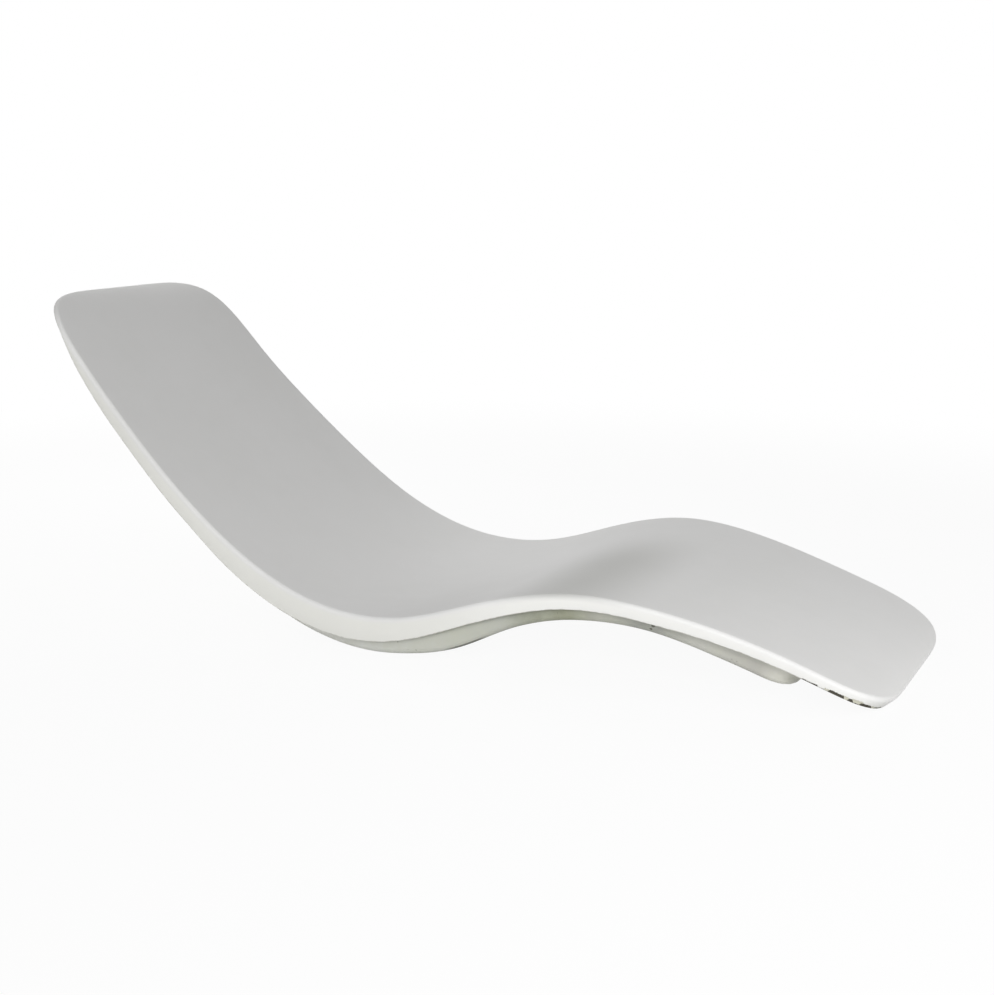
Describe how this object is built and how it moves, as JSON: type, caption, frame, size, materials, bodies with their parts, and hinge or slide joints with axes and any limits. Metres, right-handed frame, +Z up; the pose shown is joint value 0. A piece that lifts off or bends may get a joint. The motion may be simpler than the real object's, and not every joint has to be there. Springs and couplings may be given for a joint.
{
  "type": "spa relaxation lounger",
  "caption": "Wave-shaped glass-fibre relaxation lounger: a thin white seat shell with a down-turned rim, bonded to a shallow under-pan on rubber floor pads.",
  "frame": {"origin": "middle of the overall box at floor level, under the seat hollow", "axes": "+X from head to foot, +Y to the far side of the picture, +Z up; a person lies with the head at -X"},
  "size_m": [1.7958, 0.7306, 0.6405],
  "materials": {
    "gelcoat": "white gelcoat, softly glossy, with worn and chipped lower edges at the foot end",
    "pan_laminate": "grey top-coated laminate with a faint green tint, satin",
    "liner_laminate": "sealed glass-fibre laminate, matt and slightly uneven",
    "bonding_paste": "smoothed structural paste, matt",
    "foam": "rigid polyurethane foam, cut faces, matt",
    "plywood": "birch plywood, sealed",
    "rubber": "black rubber, matt",
    "screw_steel": "stainless steel, plain"
  },
  "bodies": {
    "root": {"seat_shell": "gelcoat", "under_pan": "pan_laminate", "pan_bond": "bonding_paste", "back_core": "foam", "back_liner": "liner_laminate", "foot_core": "foam", "foot_liner": "liner_laminate", "keel": "plywood", "lumbar_rib": "plywood", "seat_rib": "plywood", "knee_rib": "plywood", "calf_rib": "plywood", "seat_foam_left": "foam", "seat_foam_right": "foam", "thigh_foam_left": "foam", "thigh_foam_right": "foam", "calf_foam_left": "foam", "calf_foam_right": "foam", "pad_plate_left": "plywood", "pad_plate_right": "plywood", "floor_pad_left": "rubber", "floor_pad_right": "rubber", "pad_screws": "screw_steel"}
  },
  "joints": []
}
